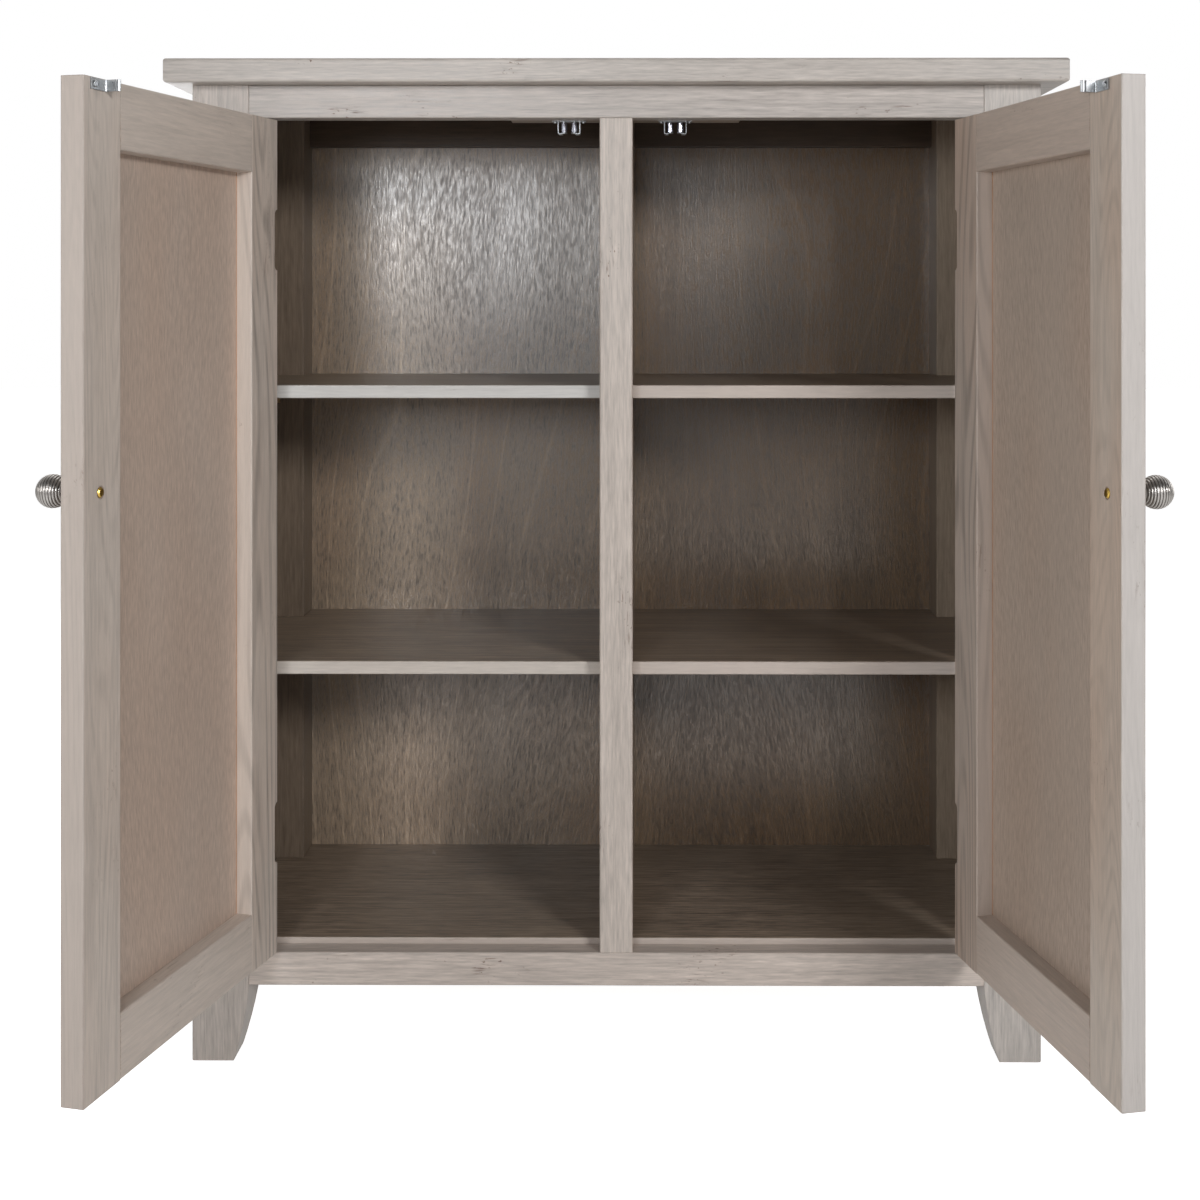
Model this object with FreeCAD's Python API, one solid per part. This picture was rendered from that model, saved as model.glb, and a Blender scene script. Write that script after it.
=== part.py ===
"""A free-standing hallway cabinet in painted wood, with two inset frame-and-panel doors.

Lengths are millimetres.  X runs to the right, Y to the back and Z up.  The origin is on the
floor, under the middle of the front frame's face.  The doors are drawn shut and then turned
on their hinge pins to the open pose in which the cabinet stands.
"""
import FreeCAD, Part
import math
import os

Vector = FreeCAD.Vector
up = Vector(0, 0, 1)
across = Vector(1, 0, 0)
back = Vector(0, 1, 0)
both_sides = (-1, 1)

# Frame of posts and rails
frame_width = 848.0
frame_depth = 334.0
leg_height = 76.0
opening_height = 834.0
post_side = 57.0
rail_height = 33.0
rail_thickness = 25.0
stile_width = 33.0
back_rail_thickness = 15.0
tenon_length = 18.0
tenon_thickness = 10.0
tenon_shoulder = 4.0
edge_round = 1.0

# Tapered feet
leg_taper = 15.5
leg_taper_swell = 2.0
foot_round = 1.5

# Top board
top_thickness = 24.0
top_overhang = 23.0
top_overhang_back = 6.0
top_round = 3.0

# Panels held in the frame
side_panel_thickness = 8.0
side_panel_setback = 10.0
side_panel_groove = 6.0
back_panel_thickness = 6.0
back_panel_lap = 10.0
back_panel_setback = 2.0

# Floor, shelves and partition
board_thickness = 13.5
board_round = 1.5
floor_rise = 6.0
shelf_pitch = 280.0
shelf_side_gap = 1.0
dado_depth = 6.0
cleat_width = 12.0
cleat_height = 18.0
cleat_end_gap = 3.0

# Blocks screwed on inside the top of the frame
catch_block_depth = 22.0
catch_block_left = 107.0
catch_block_right = 125.0
corner_block_length = 40.0
corner_block_width = 18.0
corner_block_height = 16.0
corner_block_front_gap = 13.0
corner_block_pitch = 70.0
fixing_screw_radius = 2.0
fixing_screw_head_radius = 4.0
fixing_screw_length = 32.0
fixing_screw_edge_gap = 9.0
screw_side_count = 8
head_side_count = 10

# Doors
door_thickness = 21.0
door_hinge_gap = 2.0
door_meeting_gap = 1.5
door_top_gap = 3.5
door_bottom_gap = 4.5
door_member_width = 55.5
door_panel_thickness = 3.0
door_panel_front_reveal = 2.0
door_panel_groove = 8.0
door_tenon_length = 30.0
door_tenon_thickness = 7.0
door_edge_round = 0.8
left_door_angle = 103.8
right_door_angle = 101.8

# Butt hinges
hinge_length = 50.0
hinge_end_margin = 94.0
hinge_leaf_reach = 20.0
hinge_leaf_thickness = 1.8
hinge_knuckle_radius = 4.0
hinge_knuckle_count = 3
hinge_knuckle_gap = 0.3
hinge_sweep_gap = 0.3
hinge_pin_radius = 2.0
hinge_pin_play = 0.05
hinge_pin_forward = 6.0
hinge_notch_end_radius = 5.0
hinge_leaf_round = 2.0
hinge_screw_radius = 1.5
hinge_screw_head_radius = 3.0
hinge_screw_length = 14.0
hinge_screw_pitch = 28.0
hinge_screw_edge_gap = 7.5

# Knobs turned as a ringed ball on a short neck
knob_height = 490.0
knob_edge_gap = 25.0
knob_ball_radius = 14.0
knob_projection = 36.5
knob_ring_count = 9
knob_side_count = 20
knob_ring_swell = 0.7
knob_neck_radius = 5.0
knob_foot_radius = 8.0
knob_foot_height = 3.0
knob_foot_round = 1.0
knob_screw_radius = 2.0
knob_screw_bite = 9.0
knob_screw_head_radius = 4.4
knob_screw_head_height = 2.2
knob_screw_sink = 1.2
knob_screw_sink_radius = 5.2

# Roller catches and their strikes
left_strike_edge_gap = 30.5
right_strike_edge_gap = 42.0
catch_lead = 0.3
sheet_thickness = 0.8
catch_side_gap = 0.8
catch_flange_width = 34.0
catch_drop = 13.6
catch_depth = 14.0
catch_setback = 1.0
catch_bend_radius = 2.0
catch_mouth = 13.0
catch_play = 0.2
arm_floor_gap = 0.3
catch_screw_radius = 1.2
catch_screw_head_radius = 2.2
catch_screw_head_height = 1.2
catch_screw_length = 12.0
roller_radius = 3.5
roller_side_count = 16
roller_gap = 3.6
roller_pin_radius = 1.0
roller_play = 0.05
arm_travel = 1.0
arm_mouth_gap = 0.4
strike_thickness = 1.2
strike_height = 9.5
strike_top_gap = 0.5
strike_plate_length = 21.5
strike_bend_radius = 1.6
strike_reach = 15.0
strike_bulb_width = 2.6
strike_bulb_length = 4.4
strike_tip_width = 1.6
strike_screw_radius = 1.5
strike_screw_head_radius = 2.9
strike_screw_head_height = 1.3
strike_screw_length = 12.0
strike_screw_edge_gap = 5.5

# Places that follow from the sizes above
overrun = top_thickness
frame_x = frame_width / 2
post_x = frame_x - post_side
rail_bottom = leg_height
opening_bottom = rail_bottom + rail_height
opening_top = opening_bottom + opening_height
frame_top = opening_top + rail_height
stile_x = stile_width / 2
rear_post_y = frame_depth - post_side
panel_front = frame_depth - back_panel_setback - back_panel_thickness
panel_back = frame_depth - back_panel_setback
back_rail_y = panel_front - back_rail_thickness
side_panel_outer = frame_x - side_panel_setback
side_panel_inner = side_panel_outer - side_panel_thickness
side_rail_inner = frame_x - rail_thickness
floor_top = opening_bottom + floor_rise
floor_under = floor_top - board_thickness
shelf_tops = {"lower": floor_top + shelf_pitch, "upper": floor_top + 2 * shelf_pitch}

door_width = post_x - stile_x - door_hinge_gap - door_meeting_gap
door_bottom = opening_bottom + door_bottom_gap
door_top = opening_top - door_top_gap
pin_x = post_x - hinge_knuckle_radius
pin_y = -hinge_pin_forward
door_edge = door_hinge_gap - hinge_knuckle_radius
door_free = door_edge + door_width
door_front = hinge_pin_forward
door_back = door_front + door_thickness
notch_half = hinge_length / 2 + hinge_notch_end_radius
hinge_heights = (door_bottom + hinge_end_margin + hinge_length / 2,
                 door_top - hinge_end_margin - hinge_length / 2)
hinge_screw_y = hinge_leaf_reach - hinge_screw_edge_gap
knob_x = door_free - knob_edge_gap
knob_z = door_bottom + knob_height
strike_x = {-1: door_free - left_strike_edge_gap, 1: door_free - right_strike_edge_gap}
strike_top = door_top - strike_top_gap
strike_bottom = strike_top - strike_height
catch_width = roller_gap + 4 * roller_radius + 2 * (arm_travel + catch_side_gap + sheet_thickness)
touch = edge_round / 1000


def block(x0, x1, y0, y1, z0, z1):
    """A box between two corners, whichever way round each pair of limits comes."""
    low = Vector(min(x0, x1), min(y0, y1), min(z0, z1))
    return Part.makeBox(abs(x1 - x0), abs(y1 - y0), abs(z1 - z0), low)


def rod(radius, start, direction, length):
    return Part.makeCylinder(radius, length, start, direction)


def flat_face(corners):
    return Part.Face(Part.makePolygon(corners + corners[:1]))


def turned(start, direction, stations, sides):
    """A small turned piece with flat sides.

    Each station is a distance from start along the direction and the radius there.
    """
    first = up if direction.dot(across) else across
    second = direction.cross(first)
    rings = []
    for along, radius in stations:
        ring = []
        for index in range(sides):
            angle = 2 * math.pi * index / sides
            arm = first * math.cos(angle) + second * math.sin(angle)
            ring.append(start + direction * along + arm * radius)
        rings.append(ring)
    faces = [flat_face(rings[0]), flat_face(rings[-1])]
    for near, far in zip(rings, rings[1:]):
        for index in range(sides):
            after = (index + 1) % sides
            faces.append(flat_face([near[index], near[after], far[after], far[index]]))
    return Part.Solid(Part.Shell(faces))


def bored(radius, start, direction, length, sides):
    """The tool for a hole with flat sides that a round pin of the given radius just fits."""
    corner = radius / math.cos(math.pi / sides)
    return turned(start, direction, ((0, corner), (length, corner)), sides)


def eased(shape, width, direction):
    """The shape with a narrow flat planed on its straight edges along one direction."""
    chosen = []
    for edge in shape.Edges:
        if edge.Curve.TypeId != "Part::GeomLine":
            continue
        span = edge.Vertexes[-1].Point - edge.Vertexes[0].Point
        if span.cross(direction).Length < touch:
            chosen.append(edge)
    return shape.makeChamfer(width, chosen)


def outline(points):
    """A closed face in one plane.  A point given as (via, end) is reached along an arc."""
    edges = []
    here = points[0]
    for step in points[1:]:
        if isinstance(step, tuple):
            edges.append(Part.Arc(here, step[0], step[1]).toShape())
            here = step[1]
        else:
            edges.append(Part.makeLine(here, step))
            here = step
    edges.append(Part.makeLine(here, points[0]))
    return Part.Face(Part.Wire(edges))


def group(solids):
    return Part.makeCompound(solids)


def save(node, shape):
    """Write one sub-part, with its solids side by side in one file."""
    solids = shape.Solids
    result = solids[0] if len(solids) == 1 else group(solids)
    result.exportStep(f"parts/{node}.step")


def side_name(side):
    return "left" if side < 0 else "right"


def screw(start, direction, radius, length, head_radius):
    """A countersunk screw: the head's flat top is at start and the shank runs along direction."""
    stations = ((0, head_radius), (head_radius - radius, radius), (length, radius))
    return turned(start, direction, stations, screw_side_count)


def pan_screw(seat, direction, radius, length, head_radius, head_height):
    """A screw whose head, with its rim cut back, stands on a surface at seat."""
    rim = head_height / 2
    stations = ((-head_height, head_radius - rim), (-rim, head_radius), (0, head_radius),
                (0, radius), (length, radius))
    return turned(seat, direction, stations, head_side_count)


# Posts
def leg_cutter(inner, start, along_x, low, high):
    """The wedge, hollow by an arc, that tapers one inner face of a foot.

    inner is the face's place, start its sign towards the body of the post and along_x says
    whether the face looks along X.  low and high are the limits of the cut the other way.
    """
    tip = inner + start * leg_taper
    middle = inner + start * (leg_taper / 2 - leg_taper_swell)
    outside = inner - start * overrun

    def at(offset, height):
        return Vector(offset, low, height) if along_x else Vector(low, offset, height)
    face = outline([at(inner, leg_height), (at(middle, leg_height / 2), at(tip, 0)),
                    at(outside, 0), at(outside, leg_height)])
    return face.extrude(back * (high - low) if along_x else across * (high - low))


def post_blank(side, front):
    """A post with tapered foot and eased arrises, before its joints are cut."""
    x_in, x_out = side * post_x, side * frame_x
    y_out = 0 if front else frame_depth
    y_in = post_side if front else rear_post_y
    low_x, high_x = min(x_in, x_out) - overrun, max(x_in, x_out) + overrun
    low_y, high_y = min(y_in, y_out) - overrun, max(y_in, y_out) + overrun
    shaft = eased(block(x_in, x_out, y_in, y_out, 0, frame_top), edge_round, up)
    shaft = shaft.cut(leg_cutter(x_in, side, True, low_y, high_y))
    shaft = shaft.cut(leg_cutter(y_in, -1 if front else 1, False, low_x, high_x))
    sole = [edge for edge in shaft.Edges if edge.BoundBox.ZMax < touch]
    return shaft.makeFillet(foot_round, sole)


def rail_zones():
    """The height ranges of the bottom and top rails."""
    return ((rail_bottom, opening_bottom), (opening_top, frame_top))


def front_tenon(side, zone):
    mid = rail_thickness / 2
    return block(side * post_x, side * (post_x + tenon_length), mid - tenon_thickness / 2,
                 mid + tenon_thickness / 2, zone[0] + tenon_shoulder, zone[1] - tenon_shoulder)


def back_zone(zone):
    """The back rails share the front rails' heights, but the lower one stops under the floor."""
    return (zone[0], min(zone[1], floor_under)) if zone[0] < opening_bottom else zone


def back_tenon(side, zone):
    mid = back_rail_y + back_rail_thickness / 2
    low, high = back_zone(zone)
    half = tenon_thickness / 2
    return block(side * post_x, side * (post_x + tenon_length), mid - half, mid + half,
                 low + tenon_shoulder, high - tenon_shoulder)


def side_tenon(side, front, zone):
    mid = frame_x - rail_thickness / 2
    half = tenon_thickness / 2
    y0 = post_side if front else rear_post_y
    y1 = y0 - tenon_length if front else y0 + tenon_length
    return block(side * (mid - half), side * (mid + half), y0, y1,
                 zone[0] + tenon_shoulder, zone[1] - tenon_shoulder)


def side_panel(side):
    return block(side * side_panel_inner, side * side_panel_outer,
                 post_side - side_panel_groove, rear_post_y + side_panel_groove,
                 opening_bottom - side_panel_groove, opening_top + side_panel_groove)


def back_panel():
    reach = post_x + back_panel_lap
    return block(-reach, reach, panel_front, panel_back, rail_bottom, frame_top)


def back_rebate(side):
    return block(side * (post_x - overrun), side * (post_x + back_panel_lap),
                 panel_front, frame_depth + overrun, rail_bottom, frame_top + overrun)


def hinge_frame_screws(side):
    """The screws of one side's frame leaves, two through each leaf into the post."""
    start_x = -hinge_knuckle_radius + hinge_leaf_thickness
    return [door_place(screw(Vector(start_x, y, z), -across, hinge_screw_radius,
                             hinge_screw_length, hinge_screw_head_radius), side)
            for y, z in hinge_screw_places()]


def hinge_screw_places():
    return [(hinge_screw_y, height + step * hinge_screw_pitch / 2)
            for height in hinge_heights for step in both_sides]


def door_place(shape, side, angle=0.0):
    """Put a shape drawn about the left pin into the cabinet, mirrored for the right door."""
    placed = shape.copy()
    if side > 0:
        placed = placed.mirror(Vector(), across)
    placed.translate(Vector(side * pin_x, pin_y, 0))
    if angle:
        placed.rotate(Vector(side * pin_x, pin_y, 0), up, angle)
    return placed


def make_posts():
    for side in both_sides:
        for front in (True, False):
            post = post_blank(side, front)
            cuts = [side_tenon(side, front, zone) for zone in rail_zones()]
            cuts.append(side_panel(side))
            if front:
                cuts += [front_tenon(side, zone) for zone in rail_zones()]
                cuts += hinge_frame_screws(side)
            else:
                cuts += [back_tenon(side, zone) for zone in rail_zones()]
                cuts.append(back_rebate(side))
            post = post.cut(cuts)
            place = "front" if front else "rear"
            save(f"{place}_{side_name(side)}_post", post)


# Rails and stile
def stile_tenon(zone):
    """The tenon that the centre stile puts into a rail, seen from the rail."""
    mid = rail_thickness / 2
    low = zone[0] == rail_bottom
    shoulder = zone[1] if low else zone[0]
    end = shoulder - tenon_length if low else shoulder + tenon_length
    return block(tenon_shoulder - stile_x, stile_x - tenon_shoulder,
                 mid - tenon_thickness / 2, mid + tenon_thickness / 2, shoulder, end)


def make_front_rails():
    names = ("front_bottom_rail", "front_top_rail")
    for name, zone in zip(names, rail_zones()):
        rail = eased(block(-post_x, post_x, 0, rail_thickness, *zone), edge_round, across)
        rail = rail.fuse([front_tenon(side, zone) for side in both_sides])
        cuts = [stile_tenon(zone)]
        if name == "front_top_rail":
            cuts += catch_block_screws()
        save(name, rail.cut(cuts))


def make_centre_stile():
    stile = block(-stile_x, stile_x, 0, rail_thickness, opening_bottom, opening_top)
    stile = eased(stile, edge_round, up)
    save("centre_stile", stile.fuse([stile_tenon(zone) for zone in rail_zones()]))


def make_back_rails():
    for name, zone in zip(("back_bottom_rail", "back_top_rail"), rail_zones()):
        rail = block(-post_x, post_x, back_rail_y, panel_front, *back_zone(zone))
        save(name, rail.fuse([back_tenon(side, zone) for side in both_sides]))


def side_rail(side, zone):
    rail = block(side * side_rail_inner, side * frame_x, post_side, rear_post_y, *zone)
    rail = eased(rail, edge_round, back)
    return rail.fuse([side_tenon(side, front, zone) for front in (True, False)])


def make_side_frames():
    for side in both_sides:
        rails = [side_rail(side, zone).cut(side_panel(side)) for zone in rail_zones()]
        rails[1] = rails[1].cut(corner_block_screws(side))
        save(f"{side_name(side)}_side_rails", group(rails))
        save(f"{side_name(side)}_side_panel", side_panel(side))


# Top board, floor, shelves and partition
def top_board_blank():
    reach = frame_x + top_overhang
    board = block(-reach, reach, -top_overhang, frame_depth + top_overhang_back,
                  frame_top, frame_top + top_thickness)
    level = [edge for edge in board.Edges if edge.BoundBox.ZLength < touch]
    return board.makeFillet(top_round, level)


def make_top_board():
    screws = [item for side in both_sides for item in corner_block_screws(side)]
    save("top_board", top_board_blank().cut(screws))


def notched_board(x_inner, side, top, reach):
    """A board notched round the posts of one side and ending at x_inner the other way."""
    under = top - board_thickness
    front = block(x_inner, side * post_x, rail_thickness, post_side, under, top)
    middle = block(x_inner, side * reach, post_side, rear_post_y, under, top)
    rear = block(x_inner, side * post_x, rear_post_y, panel_front, under, top)
    return front.fuse([middle, rear]).removeSplitter()


def eased_front(board):
    """Round the two long arrises of a board's front edge."""
    arrises = [edge for edge in board.Edges
               if edge.BoundBox.YMax < rail_thickness + touch
               and edge.BoundBox.XLength > board_thickness]
    return board.makeFillet(board_round, arrises)


def make_floor_board():
    reach = side_rail_inner - shelf_side_gap
    halves = [notched_board(0, side, floor_top, reach) for side in both_sides]
    save("floor_board", eased_front(halves[0].fuse(halves[1]).removeSplitter()))


def make_shelves():
    for level, top in shelf_tops.items():
        for side in both_sides:
            inner = side * (stile_x - dado_depth)
            board = notched_board(inner, side, top, side_panel_inner - shelf_side_gap)
            save(f"{level}_{side_name(side)}_shelf", eased_front(board))


def catch_block():
    return block(-catch_block_left, catch_block_right, rail_thickness,
                 rail_thickness + catch_block_depth, opening_top, frame_top)


def make_partition():
    wall = block(-stile_x, stile_x, rail_thickness, panel_front, floor_top, frame_top)
    cuts = [catch_block(), block(-post_x, post_x, back_rail_y, panel_front, opening_top, frame_top)]
    for top in shelf_tops.values():
        for side in both_sides:
            cuts.append(block(side * (stile_x - dado_depth), side * stile_x,
                              rail_thickness, panel_front, top - board_thickness, top))
    save("partition", wall.cut(cuts))


def make_cleats():
    shelf_cleats = []
    for top in shelf_tops.values():
        for side in both_sides:
            under = top - board_thickness
            shelf_cleats.append(block(side * (side_panel_inner - cleat_width), side * side_panel_inner,
                                      post_side + cleat_end_gap, rear_post_y - cleat_end_gap,
                                      under - cleat_height, under))
    save("shelf_cleats", group(shelf_cleats))
    under = floor_under - cleat_height
    reach = post_x - cleat_end_gap
    floor_cleats = [block(-reach, reach, rail_thickness, rail_thickness + cleat_width, under, floor_under)]
    for side in both_sides:
        floor_cleats.append(block(side * (side_rail_inner - cleat_width), side * side_rail_inner,
                                  post_side + cleat_end_gap, rear_post_y - cleat_end_gap,
                                  under, floor_under))
    save("floor_cleats", group(floor_cleats))


# Catch block, corner blocks and their screws
def catch_block_screws():
    """Three screws from behind, through the catch block into the top rail."""
    rear = rail_thickness + catch_block_depth
    height = (opening_top + frame_top) / 2
    places = (-catch_block_left + fixing_screw_edge_gap, -stile_x - fixing_screw_edge_gap,
              catch_block_right - fixing_screw_edge_gap)
    return [screw(Vector(x, rear, height), -back, fixing_screw_radius, fixing_screw_length,
                  fixing_screw_head_radius) for x in places]


def corner_block_starts():
    first = post_side + corner_block_front_gap
    return (first, first + corner_block_pitch)


def corner_block_screws(side):
    """Per block one screw up into the top board and one out into the side rail."""
    screws = []
    under = frame_top - corner_block_height
    inner = side_rail_inner - corner_block_width
    for y in corner_block_starts():
        low, high = y + fixing_screw_edge_gap, y + corner_block_length - fixing_screw_edge_gap
        screws.append(screw(Vector(side * (inner + corner_block_width / 2), low, under), up,
                            fixing_screw_radius, fixing_screw_length, fixing_screw_head_radius))
        screws.append(screw(Vector(side * inner, high, frame_top - corner_block_height / 2),
                            across * side, fixing_screw_radius, fixing_screw_length,
                            fixing_screw_head_radius))
    return screws


def make_blocks():
    catch_cuts = [catch_place(item, side) for side in both_sides for item in catch_screws()]
    save("catch_block", catch_block().cut(catch_block_screws() + catch_cuts))
    blocks = []
    for side in both_sides:
        for y in corner_block_starts():
            piece = block(side * (side_rail_inner - corner_block_width), side * side_rail_inner,
                          y, y + corner_block_length, frame_top - corner_block_height, frame_top)
            blocks.append(piece.cut(corner_block_screws(side)))
    save("corner_blocks", group(blocks))
    screws = catch_block_screws() + [item for side in both_sides for item in corner_block_screws(side)]
    save("fixing_screws", group(screws))


# Butt hinges, drawn about their pin with the door shut
def knuckle_spans(height):
    """The height ranges of a hinge's knuckles, from the lowest up."""
    bottom = height - hinge_length / 2
    step = hinge_length / hinge_knuckle_count
    return [(bottom + index * step + hinge_knuckle_gap / 2,
             bottom + (index + 1) * step - hinge_knuckle_gap / 2)
            for index in range(hinge_knuckle_count)]


def hinge_leaf(height, outward, own):
    """One leaf with its rolled knuckles.

    outward is -1 for the frame leaf and 1 for the door leaf, and own is 0 or 1, the first of
    the knuckles that belong to the leaf, which has every second one.
    """
    outer = outward * hinge_knuckle_radius
    inner = outward * (hinge_knuckle_radius - hinge_leaf_thickness)
    bottom, top = height - hinge_length / 2, height + hinge_length / 2
    plate = block(inner, outer, 0, hinge_leaf_reach, bottom, top)
    corners = [edge for edge in plate.Edges
               if edge.BoundBox.YMin > hinge_leaf_reach / 2 and edge.BoundBox.XLength > edge_round
               and edge.BoundBox.ZLength < edge_round]
    leaf = plate.makeFillet(hinge_leaf_round, corners)
    bore = bored(hinge_pin_radius + hinge_pin_play, Vector(0, 0, bottom), up, hinge_length,
                 head_side_count)
    room = hinge_knuckle_radius + hinge_sweep_gap
    for index, (low, high) in enumerate(knuckle_spans(height)):
        if index % 2 == own:
            rim = ((0, hinge_knuckle_radius), (high - low, hinge_knuckle_radius))
            leaf = leaf.fuse(turned(Vector(0, 0, low), up, rim, head_side_count))
        else:
            leaf = leaf.cut(block(-room, room, -room, room, low - hinge_knuckle_gap,
                                  high + hinge_knuckle_gap))
    cuts = [bore]
    for y, z in hinge_screw_places():
        if bottom < z < top:
            cuts.append(screw(Vector(inner, y, z), across * outward, hinge_screw_radius,
                              hinge_screw_length, hinge_screw_head_radius))
    return leaf.cut(cuts).removeSplitter()


def hinge_pin(height):
    """A round pin whose ends are flush with the outer knuckles."""
    return rod(hinge_pin_radius, Vector(0, 0, height - hinge_length / 2), up, hinge_length)


def make_frame_hinges():
    leaves, pins, screws = [], [], []
    for side in both_sides:
        for height in hinge_heights:
            leaves.append(door_place(hinge_leaf(height, -1, 0), side))
            pins.append(door_place(hinge_pin(height), side))
        screws += hinge_frame_screws(side)
    save("hinge_frame_leaves", group(leaves))
    save("hinge_pins", group(pins))
    save("hinge_frame_screws", group(screws))


def hinge_door_screws():
    start_x = hinge_knuckle_radius - hinge_leaf_thickness
    return [screw(Vector(start_x, y, z), across, hinge_screw_radius, hinge_screw_length,
                  hinge_screw_head_radius) for y, z in hinge_screw_places()]


# Doors, drawn about the left pin with the door shut
def hinge_notch(height):
    """The mortise for one hinge, milled right through the stile's edge with round ends."""
    notch = block(door_edge - overrun, hinge_knuckle_radius, door_front - overrun,
                  door_back + overrun, height - notch_half, height + notch_half)
    floor_edges = [edge for edge in notch.Edges
                   if edge.BoundBox.XMin > door_edge and edge.BoundBox.YLength > overrun]
    return notch.makeFillet(hinge_notch_end_radius, floor_edges)


def door_rail_zones():
    return ((door_bottom, door_bottom + door_member_width), (door_top - door_member_width, door_top))


def door_tenon(towards_free, zone):
    """The tongue that a door rail puts into one of the stiles."""
    shoulder = door_free - door_member_width if towards_free else door_edge + door_member_width
    end = shoulder + door_tenon_length if towards_free else shoulder - door_tenon_length
    mid = door_front + door_thickness / 2
    half = door_tenon_thickness / 2
    return block(shoulder, end, mid - half, mid + half,
                 zone[0] + door_panel_groove, zone[1] - door_panel_groove)


def door_panel():
    start = door_front + door_panel_front_reveal
    inset = door_member_width - door_panel_groove
    return block(door_edge + inset, door_free - inset, start, start + door_panel_thickness,
                 door_bottom + inset, door_top - inset)


def door_stile(x0, x1):
    stile = eased(block(x0, x1, door_front, door_back, door_bottom, door_top), door_edge_round, up)
    tenons = [door_tenon(towards, zone) for towards in (True, False) for zone in door_rail_zones()]
    return stile.cut(tenons + [door_panel()])


def door_rails():
    rails = []
    for zone in door_rail_zones():
        rail = block(door_edge + door_member_width, door_free - door_member_width,
                     door_front, door_back, *zone)
        rail = eased(rail, door_edge_round, across)
        rail = rail.fuse([door_tenon(towards, zone) for towards in (True, False)])
        rails.append(rail.cut(door_panel()))
    return rails


def knob():
    """A ball cut with rings, on a short neck and a foot.

    The rings stand proudest next to the neck and fade out towards the tip.
    """
    step = (math.pi - math.asin(knob_neck_radius / knob_ball_radius)) / knob_ring_count
    stations = []
    for ring in range(knob_ring_count):
        crest = knob_ball_radius + knob_ring_swell * ring / knob_ring_count
        for reach, angle in ((crest, (ring + 1 / 2) * step), (knob_ball_radius, (ring + 1) * step)):
            stations.append((knob_ball_radius - reach * math.cos(angle), reach * math.sin(angle)))
    shoulder = knob_projection - knob_foot_height
    stations.append((shoulder, knob_neck_radius))
    stations.append((shoulder, knob_foot_radius - knob_foot_round))
    stations.append((shoulder + knob_foot_round, knob_foot_radius))
    stations.append((knob_projection, knob_foot_radius))
    tip = Vector(knob_x, door_front - knob_projection, knob_z)
    return turned(tip, back, stations, knob_side_count)


def knob_screw():
    seat = Vector(knob_x, door_back - knob_screw_sink, knob_z)
    length = door_thickness - knob_screw_sink + knob_screw_bite
    return pan_screw(seat, -back, knob_screw_radius, length, knob_screw_head_radius,
                     knob_screw_head_height)


def knob_counterbore():
    return rod(knob_screw_sink_radius, Vector(knob_x, door_back - knob_screw_sink, knob_z),
               back, overrun)


def strike(x):
    """A bent strip: a plate on the door's inner face and a nose that ends in a bulb."""
    half = strike_thickness / 2
    bulb = strike_bulb_width / 2
    tip = strike_tip_width / 2
    face = door_back
    plate_top = face + strike_thickness
    bend = strike_bend_radius
    inner = bend - bend * math.sqrt(0.5)
    end_y = face + strike_reach
    bulb_far = end_y - tip
    bulb_near = bulb_far - strike_bulb_length
    bulb_mid = (bulb_far + bulb_near) / 2
    level = strike_bottom

    def at(px, py):
        return Vector(px, py, level)
    points = [at(x - half, face), at(x + strike_plate_length, face),
              at(x + strike_plate_length, plate_top), at(x + half + bend, plate_top),
              (at(x + half + inner, plate_top + inner), at(x + half, plate_top + bend)),
              at(x + half, bulb_near), (at(x + bulb, bulb_mid), at(x + tip, bulb_far)),
              (at(x, end_y), at(x - tip, bulb_far)),
              (at(x - bulb, bulb_mid), at(x - half, bulb_near))]
    return outline(points).extrude(up * strike_height)


def strike_screw_seat(x):
    return Vector(x + strike_plate_length - strike_screw_edge_gap, door_back + strike_thickness,
                  strike_bottom + strike_height / 2)


def strike_screw(x):
    return pan_screw(strike_screw_seat(x), -back, strike_screw_radius, strike_screw_length,
                     strike_screw_head_radius, strike_screw_head_height)


def make_doors():
    angles = {-1: -left_door_angle, 1: right_door_angle}
    for side in both_sides:
        hand = side_name(side)
        nose_x = strike_x[side]
        notches = [hinge_notch(height) for height in hinge_heights]
        hinge_stile = door_stile(door_edge, door_edge + door_member_width)
        hinge_stile = hinge_stile.cut(notches + hinge_door_screws())
        lock_stile = door_stile(door_free - door_member_width, door_free)
        lock_stile = lock_stile.cut([knob_screw(), knob_counterbore(), strike_screw(nose_x)])
        rails = group([rail.cut(strike_screw(nose_x)) for rail in door_rails()])
        pieces = {
            "door_hinge_stile": hinge_stile,
            "door_lock_stile": lock_stile,
            "door_rails": rails,
            "door_panel": door_panel(),
            "knob": knob().cut(knob_screw()),
            "knob_screw": knob_screw(),
            "strike": strike(nose_x).cut(strike_screw(nose_x)),
            "strike_screw": strike_screw(nose_x),
            "hinge_door_leaves": group([hinge_leaf(height, 1, 1) for height in hinge_heights]),
            "hinge_door_screws": group(hinge_door_screws()),
        }
        for name, shape in pieces.items():
            save(f"{hand}_{name}", door_place(shape, side, angles[side]))


# Double roller catches, drawn about their own middle at the front of the block's underside
def catch_origin(side):
    """Where a catch hangs: over the strike's nose as the shut door holds it."""
    middle = side * (pin_x - strike_x[side] - catch_lead)
    return Vector(middle, rail_thickness + catch_setback, opening_top)


def catch_place(shape, side):
    placed = shape.copy()
    placed.translate(catch_origin(side))
    return placed


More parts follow.
